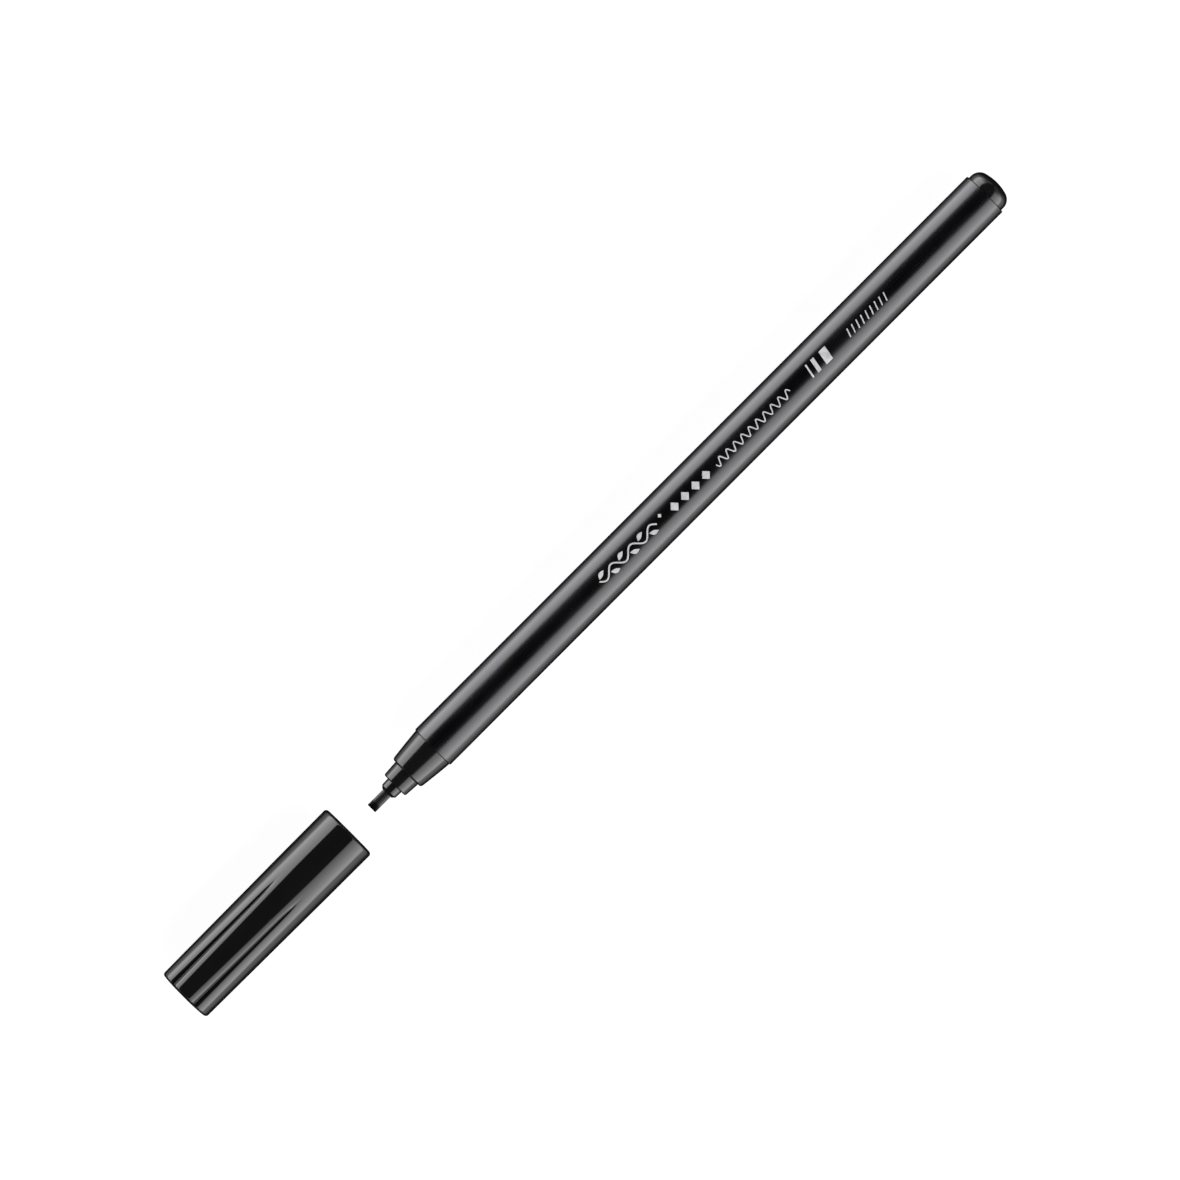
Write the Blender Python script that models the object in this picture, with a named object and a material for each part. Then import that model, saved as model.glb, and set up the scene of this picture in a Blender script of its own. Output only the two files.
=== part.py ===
"""A calligraphy marker with its cap off: the pen, the cap and the parts inside them.

The marker lies along X on the surface z = 0. Its nib points to -X and its end plug to +X, and the cap lies
in line in front of the nib. The origin is on that surface, under the middle of the whole length.

Every piece is a row of rings round its own X axis. The pen's pieces are measured from the nib's tip, and
the cap's pieces from the cap's mouth, whose closed end is at -X. Everything is in metres.
"""

import math

import bmesh
import bpy

# The whole marker.
PEN_LENGTH = 0.15995
CAP_LENGTH = 0.04225
CAP_GAP = 0.00575
SIDES = 24
ARC_STEPS = 3
SHARP_ANGLE = math.radians(30)

# Gaps between pieces that touch: on a face, and round a press fit.
FACE_GAP = 0.0001
FIT_GAP = 0.00005

# Where each visible stretch of the pen starts, from the nib's tip.
TIP_COLLAR_X = 0.00395
COLLAR_X = 0.00595
CONE_X = 0.00905
BARREL_X = 0.01565
PLUG_X = 0.15690

# Nib: a flat bar with rounded edges, cut to a chisel.
NIB_HALF_WIDTH = 0.00097
NIB_HALF_THICKNESS = 0.00060
NIB_EDGE_HALF_THICKNESS = 0.00014
NIB_BEVEL_LENGTH = 0.00080
NIB_REAR_X = 0.02550
NIB_REAR_POINT = 0.00100
NIB_ROUNDING = 0.7
NIB_SLOT_GAP = 0.00006

# Nib holder: two stepped collars and a stem pressed into the cone.
TIP_COLLAR_FRONT_RADIUS = 0.00170
TIP_COLLAR_REAR_RADIUS = 0.00176
TIP_COLLAR_ROUND = 0.00050
COLLAR_FRONT_RADIUS = 0.00270
COLLAR_REAR_RADIUS = 0.00289
COLLAR_ROUND = 0.00030
STEM_RADIUS = 0.00220
STEM_END_X = 0.01450

# Nose cone, with a spigot pressed into the barrel.
CONE_FRONT_RADIUS = 0.00358
CONE_REAR_RADIUS = 0.00429
CONE_ROUND = 0.00020
CONE_SEAT_END_X = 0.01500
SPIGOT_BORE = 0.00270
SPIGOT_END_X = 0.02100
SPIGOT_LEAD = 0.00030

# Barrel: a straight tube. Six ribs in its rear half stop the ink reservoir.
BARREL_RADIUS = 0.004515
BARREL_BORE = 0.00360
BARREL_ROUND = 0.00020
RIB_COUNT = 6
RIB_CREST_RADIUS = 0.00310
RIB_START_X = 0.11300
RIB_END_X = 0.14900

# Ink reservoir: a fibre rod in a film sleeve.
RESERVOIR_X = 0.02130
RESERVOIR_END_X = 0.11270
FIBRE_RADIUS = 0.00330
FILM_THICKNESS = 0.00015
FILM_SETBACK = 0.00010
NIB_POCKET_GAP = 0.00020

# End plug: a domed head on a hollow spigot.
PLUG_RADIUS = 0.00413
PLUG_ROUND = 0.00220
PLUG_CROWN_RADIUS = 0.00900
PLUG_FLAT_ANGLE = 5.0
PLUG_BORE = 0.00275
PLUG_BORE_END_RADIUS = 0.00220
PLUG_BORE_END_X = 0.15830
PLUG_SPIGOT_X = 0.15050

# Cap shell: round at its mouth, six flutes towards its closed end.
CAP_RADIUS = 0.00579
CAP_TAPER = 0.00008
CAP_BORE = 0.00472
CAP_INNER_BORE = 0.00445
CAP_BORE_STEP = 0.02450
CAP_BORE_STEP_LENGTH = 0.00050
CAP_END_WALL = 0.00120
CAP_BORE_END_ROUND = 0.00030
CAP_MOUTH_ROUND = 0.00065
CAP_MOUTH_LEAD = 0.00018
CAP_END_ROUND = 0.00060
CAP_END_CROWN = 0.00018
CAP_END_FLAT_RADIUS = 0.00220
FLUTE_COUNT = 6
FLUTE_START = 0.01100
FLUTE_DEPTH = 0.29
FLUTE_TURN = math.radians(3.3)
FLUTE_RINGS = 8
GROOVE_START = 0.01450
GROOVE_RUN_OUT = 0.00800
GROOVE_DEPTH = 0.00050
GROOVE_SHARPNESS = 7

# Sealing cup inside the cap, which closes round the front collar.
CUP_LIP = 0.03045
CUP_BORE = 0.00295
CUP_RADIUS = 0.00375
CUP_FLANGE_START = 0.03850
CUP_LEAD = 0.00025
CUP_BASE = 0.00080

SIDE_ANGLE = 2 * math.pi / SIDES
MARKER_LENGTH = PEN_LENGTH + CAP_GAP + CAP_LENGTH
NIB_TIP_X = MARKER_LENGTH / 2 - PEN_LENGTH
CAP_MOUTH_X = NIB_TIP_X - CAP_GAP
AXIS_HEIGHT = CAP_RADIUS * math.cos(FLUTE_TURN)


# Sections: each gives the point (y, z) of a numbered side. Angles run from +Z towards +Y. On every section
# but the nib's, the sides start at a flute's crest, so that the facets of pen and cap line up.

def polar(reach, angle):
    return reach * math.sin(angle), reach * math.cos(angle)


def circle(radius):
    return lambda side: polar(radius, FLUTE_TURN + side * SIDE_ANGLE)


def ribbed(bore, crest):
    """A bore with ribs that stand inwards, each with its crest on one side's edge."""
    spacing = SIDES // RIB_COUNT
    return lambda side: polar(bore if side % spacing else crest, FLUTE_TURN + side * SIDE_ANGLE)


def fluted(crest, strength, groove=0.0):
    """Convex lobes that meet in valleys: each lobe is an arc whose centre lies off the axis.

    A groove takes its depth off the lobes where they meet."""
    spacing = 2 * math.pi / FLUTE_COUNT
    offset = strength * FLUTE_DEPTH

    def point(side):
        angle = side * SIDE_ANGLE
        from_crest = (angle + spacing / 2) % spacing - spacing / 2
        across = offset * math.sin(from_crest)
        reach = offset * math.cos(from_crest) + math.sqrt((1 - offset) ** 2 - across ** 2)
        cut = groove * abs(2 * from_crest / spacing) ** GROOVE_SHARPNESS
        return polar(crest * reach - cut, FLUTE_TURN + angle)
    return point


def flat_bar(half_width, half_thickness):
    """A bar with rounded edges, wide along Y: four corner arcs with flats between them."""
    corner_sides = SIDES // 4
    rounding = NIB_ROUNDING * half_thickness

    def point(side):
        corner, step = divmod(side, corner_sides)
        angle = (corner + step / (corner_sides - 1)) * math.pi / 2
        across, up = polar(rounding, angle)
        towards_y = 1 if corner < 2 else -1
        towards_z = 1 if corner in (0, 3) else -1
        return across + towards_y * (half_width - rounding), up + towards_z * (half_thickness - rounding)
    return point


# Outlines: lists of rings (x, section).

def turned(points):
    return [(x, circle(radius)) for x, radius in points]


def arc(centre_x, centre_radius, radius, start, end):
    """Points (x, distance from the axis) on an arc; its angles are in degrees, from +X outwards."""
    points = []
    for step in range(ARC_STEPS + 1):
        angle = math.radians(start + (end - start) * step / ARC_STEPS)
        points.append((centre_x + radius * math.cos(angle), centre_radius + radius * math.sin(angle)))
    return points


def front_round(x, radius, size):
    """A rounded edge that faces -X, from the front face out to the side."""
    return arc(x + size, radius - size, size, 180, 90)


def rear_round(x, radius, size):
    """A rounded edge that faces +X, from the side in to the rear face."""
    return arc(x - size, radius - size, size, 90, 0)


# Building.

def plastic(name, colour, roughness):
    material = bpy.data.materials.new(name)
    material.use_nodes = True
    shader = material.node_tree.nodes["Principled BSDF"]
    shader.inputs["Base Color"].default_value = (*colour, 1.0)
    shader.inputs["Roughness"].default_value = roughness
    shader.inputs["Metallic"].default_value = 0.0
    material.diffuse_color = (*colour, 1.0)
    return material


def axis_empty(name, x):
    """The axis that a body's pieces are placed on."""
    empty = bpy.data.objects.new(name, None)
    empty.location = (x, 0.0, AXIS_HEIGHT)
    empty.empty_display_size = CAP_RADIUS
    bpy.context.collection.objects.link(empty)
    return empty


def ring_of_points(mesh, x, section):
    return [mesh.verts.new((x, *section(side))) for side in range(SIDES)]


def skin(name, rings, is_tube, parent, material):
    """One closed body through the rings. A tube's last ring joins its first; any other body has flat ends."""
    mesh = bmesh.new()
    loops = [ring_of_points(mesh, x, section) for x, section in rings]
    joins = list(zip(loops, loops[1:]))
    if is_tube:
        joins.append((loops[-1], loops[0]))
    else:
        mesh.faces.new(loops[0])
        mesh.faces.new(loops[-1])
    for near, far in joins:
        for side in range(SIDES):
            following = (side + 1) % SIDES
            mesh.faces.new((near[side], near[following], far[following], far[side]))
    bmesh.ops.recalc_face_normals(mesh, faces=mesh.faces)

    data = bpy.data.meshes.new(name)
    mesh.to_mesh(data)
    mesh.free()
    data.shade_smooth()
    data.set_sharp_from_angle(angle=SHARP_ANGLE)
    data.materials.append(material)
    piece = bpy.data.objects.new(name, data)
    piece.parent = parent
    bpy.context.collection.objects.link(piece)
    return piece


# The pen's pieces, from the nib's tip.

def make_nib(pen):
    body = flat_bar(NIB_HALF_WIDTH, NIB_HALF_THICKNESS)
    rings = [
        (0.0, flat_bar(NIB_HALF_WIDTH, NIB_EDGE_HALF_THICKNESS)),
        (NIB_BEVEL_LENGTH, body),
        (NIB_REAR_X - NIB_REAR_POINT, body),
        (NIB_REAR_X, flat_bar(NIB_HALF_WIDTH / 2, NIB_HALF_THICKNESS / 2)),
    ]
    skin("nib", rings, False, pen, plastic("nib", (0.020, 0.020, 0.022), 0.45))


def make_nib_holder(pen):
    slot = flat_bar(NIB_HALF_WIDTH + NIB_SLOT_GAP, NIB_HALF_THICKNESS + NIB_SLOT_GAP)
    shoulder_x = CONE_X - FACE_GAP
    stem_radius = STEM_RADIUS - FIT_GAP
    outside = front_round(TIP_COLLAR_X, TIP_COLLAR_FRONT_RADIUS, TIP_COLLAR_ROUND)
    outside += [(COLLAR_X, TIP_COLLAR_REAR_RADIUS)]
    outside += front_round(COLLAR_X, COLLAR_FRONT_RADIUS, COLLAR_ROUND)
    outside += [(shoulder_x, COLLAR_REAR_RADIUS), (shoulder_x, stem_radius), (STEM_END_X, stem_radius)]
    rings = turned(outside) + [(STEM_END_X, slot), (TIP_COLLAR_X, slot)]
    skin("nib_holder", rings, True, pen, plastic("nib_holder", (0.014, 0.014, 0.015), 0.30))


def make_nose_cone(pen):
    spigot_radius = BARREL_BORE - FIT_GAP
    shoulder_x = BARREL_X - FACE_GAP
    outside = front_round(CONE_X, CONE_FRONT_RADIUS, CONE_ROUND)
    outside += [(shoulder_x, CONE_REAR_RADIUS), (shoulder_x, spigot_radius)]
    outside += [(SPIGOT_END_X - SPIGOT_LEAD, spigot_radius), (SPIGOT_END_X, spigot_radius - SPIGOT_LEAD)]
    inside = [(SPIGOT_END_X, SPIGOT_BORE), (CONE_SEAT_END_X, SPIGOT_BORE)]
    inside += [(CONE_SEAT_END_X, STEM_RADIUS), (CONE_X, STEM_RADIUS)]
    skin("nose_cone", turned(outside + inside), True, pen, plastic("nose_cone", (0.014, 0.014, 0.015), 0.25))


def make_barrel(pen):
    outside = front_round(BARREL_X, BARREL_RADIUS, BARREL_ROUND)
    outside += rear_round(PLUG_X, BARREL_RADIUS, BARREL_ROUND)
    bore = circle(BARREL_BORE)
    ribs = ribbed(BARREL_BORE, RIB_CREST_RADIUS)
    inside = [(PLUG_X, bore), (RIB_END_X, bore), (RIB_END_X - FACE_GAP, ribs)]
    inside += [(RIB_START_X + FACE_GAP, ribs), (RIB_START_X, bore), (BARREL_X, bore)]
    skin("barrel", turned(outside) + inside, True, pen, plastic("barrel", (0.008, 0.008, 0.009), 0.20))


def make_ink_reservoir(pen):
    """A solid fibre rod, with a pocket in its front face where the nib's rear end sits."""
    pocket = flat_bar(NIB_HALF_WIDTH + NIB_POCKET_GAP, NIB_HALF_THICKNESS + NIB_POCKET_GAP)
    rings = [(NIB_REAR_X + NIB_POCKET_GAP, pocket), (RESERVOIR_X, pocket)]
    rings += turned([(RESERVOIR_X, FIBRE_RADIUS), (RESERVOIR_END_X, FIBRE_RADIUS)])
    skin("ink_reservoir", rings, False, pen, plastic("ink_reservoir", (0.030, 0.030, 0.036), 0.90))


def make_reservoir_film(pen):
    bore = FIBRE_RADIUS + FIT_GAP
    radius = bore + FILM_THICKNESS
    front_x = RESERVOIR_X + FILM_SETBACK
    rear_x = RESERVOIR_END_X - FILM_SETBACK
    rings = turned([(front_x, radius), (rear_x, radius), (rear_x, bore), (front_x, bore)])
    skin("reservoir_film", rings, True, pen, plastic("reservoir_film", (0.70, 0.71, 0.72), 0.25))


def make_end_plug(pen):
    spigot_radius = BARREL_BORE - FIT_GAP
    base_x = PLUG_X + FACE_GAP
    crown_x = PEN_LENGTH - PLUG_CROWN_RADIUS * math.cos(math.radians(PLUG_FLAT_ANGLE))
    from_crown = PLUG_CROWN_RADIUS - PLUG_ROUND
    corner_radius = PLUG_RADIUS - PLUG_ROUND
    meeting_angle = math.degrees(math.asin(corner_radius / from_crown))
    corner_x = crown_x + from_crown * math.cos(math.radians(meeting_angle))
    outside = arc(crown_x, 0.0, PLUG_CROWN_RADIUS, PLUG_FLAT_ANGLE, meeting_angle)
    outside += arc(corner_x, corner_radius, PLUG_ROUND, meeting_angle, 90)[1:]
    outside += [(base_x, PLUG_RADIUS), (base_x, spigot_radius), (PLUG_SPIGOT_X + SPIGOT_LEAD, spigot_radius)]
    outside += [(PLUG_SPIGOT_X, spigot_radius - SPIGOT_LEAD)]
    inside = [(PLUG_SPIGOT_X, PLUG_BORE), (PLUG_X, PLUG_BORE), (PLUG_BORE_END_X, PLUG_BORE_END_RADIUS)]
    skin("end_plug", turned(outside + inside), False, pen, plastic("end_plug", (0.014, 0.014, 0.015), 0.25))


# The cap's pieces, from the cap's mouth.

def cap_crest(depth_in):
    """The outer radius at a flute's crest, which narrows a little behind the rounded mouth."""
    along = (depth_in - CAP_MOUTH_ROUND) / (CAP_LENGTH - CAP_MOUTH_ROUND)
    return CAP_RADIUS - CAP_TAPER * math.sqrt(along)


def flute_strength(depth_in):
    """0 where the cap is round, rising to 1 at its closed end."""
    return max((depth_in - FLUTE_START) / (CAP_LENGTH - FLUTE_START), 0.0)


def groove_depth(depth_in):
    """How deep the grooves between the flutes are: they rise to their full depth over a short run-out."""
    share = min(max((depth_in - GROOVE_START) / GROOVE_RUN_OUT, 0.0), 1.0)
    return GROOVE_DEPTH * share * share * (3 - 2 * share)


def make_cap_shell(cap):
    side_end = CAP_LENGTH - CAP_END_CROWN - CAP_END_ROUND
    end_crest = cap_crest(side_end)
    crown_radius = (CAP_END_FLAT_RADIUS + end_crest - CAP_END_ROUND) / 2
    end_strength = flute_strength(side_end)
    rings = [(-CAP_LENGTH, circle(CAP_END_FLAT_RADIUS))]
    rings += [(-CAP_LENGTH + CAP_END_CROWN / 3, fluted(crown_radius, end_strength / 2, GROOVE_DEPTH / 2))]
    for x, radius in front_round(-side_end - CAP_END_ROUND, end_crest, CAP_END_ROUND):
        rings.append((x, fluted(radius, end_strength, GROOVE_DEPTH)))
    for index in range(1, FLUTE_RINGS + 1):
        depth_in = side_end + (FLUTE_START - side_end) * index / FLUTE_RINGS
        section = fluted(cap_crest(depth_in), flute_strength(depth_in), groove_depth(depth_in))
        rings.append((-depth_in, section))
    rings += turned(rear_round(0.0, cap_crest(CAP_MOUTH_ROUND), CAP_MOUTH_ROUND))

    bore_end = -CAP_LENGTH + CAP_END_WALL
    inside = [(0.0, CAP_BORE + CAP_MOUTH_LEAD), (-CAP_MOUTH_LEAD, CAP_BORE), (-CAP_BORE_STEP, CAP_BORE)]
    inside += [(-CAP_BORE_STEP - CAP_BORE_STEP_LENGTH, CAP_INNER_BORE)]
    inside += [(bore_end + CAP_BORE_END_ROUND, CAP_INNER_BORE)]
    inside += [(bore_end, CAP_INNER_BORE - CAP_BORE_END_ROUND)]
    rings += turned(inside)
    skin("cap_shell", rings, False, cap, plastic("cap_shell", (0.010, 0.010, 0.011), 0.06))


def make_cap_inner_cup(cap):
    base_x = -CAP_LENGTH + CAP_END_WALL + FACE_GAP
    flange_radius = CAP_INNER_BORE - FIT_GAP
    outside = [(base_x, flange_radius - CAP_BORE_END_ROUND), (base_x + CAP_BORE_END_ROUND, flange_radius)]
    outside += [(-CUP_FLANGE_START, flange_radius), (-CUP_FLANGE_START, CUP_RADIUS)]
    outside += [(-CUP_LIP - CUP_LEAD, CUP_RADIUS), (-CUP_LIP, CUP_RADIUS - CUP_LEAD)]
    inside = [(-CUP_LIP, CUP_BORE + CUP_LEAD), (-CUP_LIP - CUP_LEAD, CUP_BORE), (base_x + CUP_BASE, CUP_BORE)]
    material = plastic("cap_inner_cup", (0.62, 0.62, 0.60), 0.40)
    skin("cap_inner_cup", turned(outside + inside), False, cap, material)


def main():
    for piece in list(bpy.data.objects):
        bpy.data.objects.remove(piece, do_unlink=True)

    pen = axis_empty("pen_axis", NIB_TIP_X)
    make_nib(pen)
    make_nib_holder(pen)
    make_nose_cone(pen)
    make_barrel(pen)
    make_ink_reservoir(pen)
    make_reservoir_film(pen)
    make_end_plug(pen)

    cap = axis_empty("cap_axis", CAP_MOUTH_X)
    make_cap_shell(cap)
    make_cap_inner_cup(cap)


main()
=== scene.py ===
"""Looks of the calligraphy marker: its fine meshes, materials and print, and the studio round it.

Every piece is a row of rings round its own X axis. The pen's pieces are measured from the nib's tip and the
cap's pieces from the cap's mouth, with the cap's closed end at -X. Sizes are in millimetres until MM turns
them into metres. The materials' and the floor's are in metres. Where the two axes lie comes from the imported
frame.
"""

import math

import bmesh
import bpy
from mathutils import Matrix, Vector

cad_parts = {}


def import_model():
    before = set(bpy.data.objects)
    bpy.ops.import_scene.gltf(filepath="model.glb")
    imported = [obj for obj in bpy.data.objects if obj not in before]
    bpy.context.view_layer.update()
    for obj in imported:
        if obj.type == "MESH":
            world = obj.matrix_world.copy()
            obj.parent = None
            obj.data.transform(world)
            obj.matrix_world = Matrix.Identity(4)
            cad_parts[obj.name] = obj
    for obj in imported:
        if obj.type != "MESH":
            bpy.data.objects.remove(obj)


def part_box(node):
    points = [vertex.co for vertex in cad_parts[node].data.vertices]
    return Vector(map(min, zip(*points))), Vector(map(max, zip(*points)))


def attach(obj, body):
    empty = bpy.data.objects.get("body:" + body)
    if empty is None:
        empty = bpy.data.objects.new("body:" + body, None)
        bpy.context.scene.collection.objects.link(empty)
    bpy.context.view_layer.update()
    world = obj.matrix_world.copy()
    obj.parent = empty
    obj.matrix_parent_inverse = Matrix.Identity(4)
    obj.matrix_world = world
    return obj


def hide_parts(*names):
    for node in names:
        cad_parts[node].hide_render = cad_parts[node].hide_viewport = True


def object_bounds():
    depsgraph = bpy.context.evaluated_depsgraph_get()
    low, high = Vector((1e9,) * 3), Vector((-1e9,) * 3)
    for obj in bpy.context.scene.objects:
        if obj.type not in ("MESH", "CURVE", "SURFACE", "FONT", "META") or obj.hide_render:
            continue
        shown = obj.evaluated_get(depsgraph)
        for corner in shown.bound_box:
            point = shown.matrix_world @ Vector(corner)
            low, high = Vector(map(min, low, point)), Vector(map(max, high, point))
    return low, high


MM = 0.001

# Fineness of the meshes.
SIDES = 192
CAP_SIDES = 360
NIB_SIDES = 240
ARC_STEP = math.radians(9)
SHARP_ANGLE = math.radians(32)
SUPPORT_GAP = 0.08
LONGEST_FACE = 4.0
LONGEST_CAP_FACE = 0.8

# Gaps between pieces that touch: on a face, and round a press fit.
FACE_GAP = 0.03
FIT_GAP = 0.05

# Rounding of small moulded edges, and of a chamfer's two corners.
EDGE_ROUND = 0.04
CHAMFER_ROUNDS = (0.04, 0.08)

# Radius of the last ring before a face closes on the axis.
FACE_MIDDLE = 0.40

# Where each visible stretch of the pen starts, from the nib's tip.
TIP_COLLAR_X = 3.95
COLLAR_X = 5.95
CONE_X = 9.05
BARREL_X = 15.65
PLUG_X = 156.90
PEN_LENGTH = 159.95

# Nib: a flat bar of bonded fibre, cut to a chisel.
NIB_HALF_WIDTH = 0.97
NIB_HALF_THICKNESS = 0.60
NIB_EDGE_HALF_THICKNESS = 0.165
# Its cutting edge is rounded: (x, how far the width draws in, half thickness), up to the bevel's start.
NIB_EDGE = [(0.0, 0.06, 0.08), (0.015, 0.02, 0.12), (0.06, 0.0, NIB_EDGE_HALF_THICKNESS)]
NIB_EDGE_ROUNDNESS = 0.9
NIB_ROUNDING = 0.42
NIB_CROWN = 0.45
NIB_BEVEL_END_X = 0.80
NIB_BEVEL_WAVE = 0.12
NIB_REAR_X = 25.50
NIB_REAR_POINT = 1.00
NIB_RIDGES = 48
NIB_RIDGE_DEPTH = 0.010
NIB_SLOT_GAP = 0.06
NIB_SLOT_FLARE = 0.05
NIB_SLOT_FLARE_LENGTH = 0.08
NIB_POCKET_GAP = 0.20

# Nib holder.
TIP_COLLAR_RADII = (1.70, 1.76)
TIP_COLLAR_FACE_RADIUS = 1.18
COLLAR_RADII = (2.70, 2.89)
COLLAR_CHAMFER = 0.20
STEM_RADIUS = 2.20
STEM_END_X = 14.50
STEM_END_RADIUS = 1.30

# Nose cone, whose side swells a little.
CONE_RADII = (3.58, 4.29)
CONE_CHAMFER = 0.26
CONE_SWELL = 0.035
CONE_SEAT_END_X = 15.00
SPIGOT_BORE = 2.70
SPIGOT_END_X = 21.00
SPIGOT_LEAD = 0.30

# Barrel.
BARREL_RADIUS = 4.515
BARREL_BORE = 3.60
BARREL_ROUND = 0.20
RIB_COUNT = 6
RIB_CREST_RADIUS = 3.10
RIB_HALF_ANGLE = math.radians(14)
RIB_START_X = 113.0
RIB_END_X = 149.0
RIB_LEAD = 0.3

# Ink reservoir: a fibre rod in a film sleeve.
RESERVOIR_X = 21.30
RESERVOIR_END_X = 112.70
FIBRE_RADIUS = 3.30
FIBRE_ROUND = 0.12
POCKET_SURROUND_RADIUS = 1.60
FILM_THICKNESS = 0.15
FILM_ROUND = 0.03
FILM_SETBACK = 0.10

# End plug.
PLUG_RADIUS = 4.13
PLUG_ROUND = 2.20
PLUG_CROWN_RADIUS = 9.0
PLUG_BORE = 2.75
PLUG_BORE_END_RADIUS = 2.20
PLUG_BORE_END_X = 158.30
PLUG_SPIGOT_X = 150.50

# Cap shell.
CAP_LENGTH = 42.25
CAP_RADIUS = 5.79
CAP_TAPER = 0.08
CAP_BORE = 4.72
CAP_INNER_BORE = 4.45
CAP_BORE_STEP = 24.5
CAP_BORE_STEP_LENGTH = 0.5
CAP_END_WALL = 1.20
CAP_BORE_END_ROUND = 0.30
CAP_MOUTH_ROUND = 0.65
CAP_MOUTH_LEAD = 0.18
CAP_END_ROUND = 0.60
CAP_END_CROWN = 0.18
CAP_END_FLAT_RADIUS = 2.20
GATE_RADIUS = 0.75
GATE_MIDDLE = 0.20
GATE_SLOPE = 0.09
GATE_DEPTH = 0.12
GATE_ROUND = 0.05
FLUTE_COUNT = 6
FLUTE_START = 11.0
FLUTE_DEPTH = 0.29
FLUTE_TURN = math.radians(3.3)
FLUTE_VALLEY = math.radians(1.3)
FLUTE_CROWDING = 0.6
GROOVE_START = 14.0
GROOVE_RUN_OUT = 6.0
GROOVE_DEPTH = 0.5
GROOVE_SHARPNESS = (20.0, 6.5)

# Sealing cup in the cap.
CUP_LIP = 30.45
CUP_BORE = 2.95
CUP_RADIUS = 3.75
CUP_FLANGE_START = 38.50
CUP_LEAD = 0.25
CUP_BASE = 0.80

# Print: a film of ink on the barrel. Its middle line lies a little to the -Y side of the top.
PRINT_TURN = math.radians(-2.5)
PRINT_TOP = BARREL_RADIUS + 0.020
PRINT_BOTTOM = BARREL_RADIUS - 0.012
PRINT_CELL = 0.16
WAVE_FINENESS = 2.5
LEAF_TIP_WIDTH = 0.05

# The print's pattern, from front to rear: x from the nib's tip, and where needed how far it lies across.
VINE = {"start": 58.1, "periods": 3, "wavelength": 4.9, "swing": 0.80}
STEM_WIDTH = 0.30
LEAF_LENGTH = 1.85
LEAF_WIDTH = 0.85
LEAF_LEAN = math.radians(25)
LEAF_BEND = 0.16
LEAF_PHASE = 0.02
LEAF_SETBACK = 0.25
LEAF_ROOT = 0.20
SMALL_DIAMOND = {"x": 74.2, "across": -0.75, "reach_x": 0.42, "reach_across": 0.42}
DIAMOND_COUNT = 4
DIAMOND_START = 77.3
DIAMOND_SPACING = 2.68
DIAMOND_REACH = (0.95, 1.0)
THIN_WAVE = {"start": 87.9, "end": 106.8, "wavelength": 1.89, "swing": 0.70, "width": 0.24}
# Bars that thicken towards the rear: x and length.
BARS = [(111.8, 0.35), (113.4, 0.80), (115.9, 1.60)]
BAR_WIDTH = 2.7
BAR_SLANT = -0.18
TICK_COUNT = 9
TICK_START = 121.7
TICK_SPACING = 1.16
TICK_LENGTH = 0.26
TICK_WIDTH = 1.6
TICK_SLANT = -0.35
TICK_ACROSS = 0.1

# Camera.
VIEW_WIDTH = 213.2
VIEW_CENTRE_X = 55.86
VIEW_CENTRE_Y = -0.045
VIEW_ROLL = math.radians(-45.04)
LENS = 600.0
SENSOR = 36.0

# Studio light. Two soft boxes stand along the pen's sides, and the floor throws a little of their light back
# up on both sides. It is dark straight above the pen and below it. Each is given by its first and last edge
# in degrees from straight up, how softly each edge fades in degrees, and its radiance at each edge. A box
# has its side of the pen before that, 1 for +Y and -1 for -Y.
SOFT_BOXES = [
    (1, (46, 106), (3, 12), (4.0, 7.5)),
    (-1, (30, 101), (5, 12), (2.0, 7.2)),
]
FLOOR_BOUNCE = ((95, 138), (8, 30), (1.8, 0.8))
# They fall off towards the pen's two ends, by the direction's share along X.
FALL_OFF = (0.45, 0.85)
FALL_OFF_LEVEL = 0.1
FLOOR_SIZE = 3.0
FLOOR_GLOW = 0.88
FLOOR_DEPTH = 0.00002


# Sections: each gives the point (y, z) at an angle round the axis, from +Z towards +Y.

def polar(reach, angle):
    return reach * math.sin(angle), reach * math.cos(angle)


def circle(radius):
    return lambda angle: polar(radius, angle)


def fluted(crest, strength, groove=0.0):
    """Convex lobes that meet in grooves, which widen as they deepen. Its points crowd in the grooves."""
    spacing = 2 * math.pi / FLUTE_COUNT
    offset = strength * FLUTE_DEPTH
    narrow, wide = GROOVE_SHARPNESS
    sharpness = narrow + (wide - narrow) * strength

    def point(angle):
        angle += FLUTE_CROWDING * math.sin(FLUTE_COUNT * angle) / FLUTE_COUNT
        from_crest = (angle + spacing / 2) % spacing - spacing / 2
        from_valley = math.hypot(spacing / 2 - abs(from_crest), FLUTE_VALLEY)
        softened = spacing / 2 - from_valley
        across = offset * math.sin(softened)
        reach = offset * math.cos(softened) + math.sqrt((1 - offset) ** 2 - across ** 2)
        cut = groove * abs(2 * softened / spacing) ** sharpness
        return polar(crest * reach - cut, FLUTE_TURN + angle)
    return point


def ribbed(bore, crest):
    """A bore with rounded ribs that stand inwards."""
    spacing = 2 * math.pi / RIB_COUNT

    def point(angle):
        from_rib = abs((angle + spacing / 2) % spacing - spacing / 2)
        rise = math.cos(math.pi / 2 * min(1.0, from_rib / RIB_HALF_ANGLE)) ** 2
        return polar(bore + (crest - bore) * rise, FLUTE_TURN + angle)
    return point


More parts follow.
